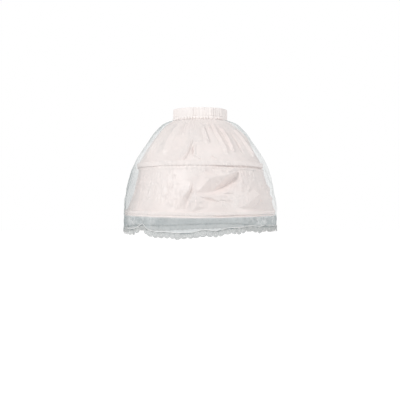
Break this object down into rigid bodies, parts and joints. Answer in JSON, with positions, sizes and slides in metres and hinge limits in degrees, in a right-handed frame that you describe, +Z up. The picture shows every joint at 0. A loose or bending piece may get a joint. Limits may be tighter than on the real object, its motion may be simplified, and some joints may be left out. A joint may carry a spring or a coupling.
{
  "type": "hoop petticoat",
  "caption": "Short white petticoat: a gathered elastic waistband, a satin lining held out by hoops in fabric channels, and a sheer net overskirt with a scalloped lace hem.",
  "frame": {"origin": "centre of the waist opening, level with the top of the waistband", "axes": "+Z up along the wearer, -Y to the front, +X to the right of someone who faces the front"},
  "size_m": [0.6053, 0.6052, 0.499],
  "materials": {
    "waistband_satin": "gathered satin",
    "lining_satin": "satin taffeta",
    "channel_satin": "satin, stitched",
    "net": "sheer net",
    "lace": "net lace",
    "elastic": "ribbed elastic",
    "coated_steel": "white coating",
    "joiner_metal": "crimped sleeve"
  },
  "bodies": {
    "root": {"waistband_casing": "waistband_satin", "waist_elastic": "elastic", "lining_upper_tier": "lining_satin", "lining_lower_tier": "lining_satin", "upper_hoop_channel": "channel_satin", "lower_hoop_channel": "channel_satin", "upper_hoop_bone": "coated_steel", "lower_hoop_bone": "coated_steel", "upper_hoop_joiner": "joiner_metal", "lower_hoop_joiner": "joiner_metal", "net_overskirt": "net", "lace_edging": "lace"}
  },
  "joints": []
}
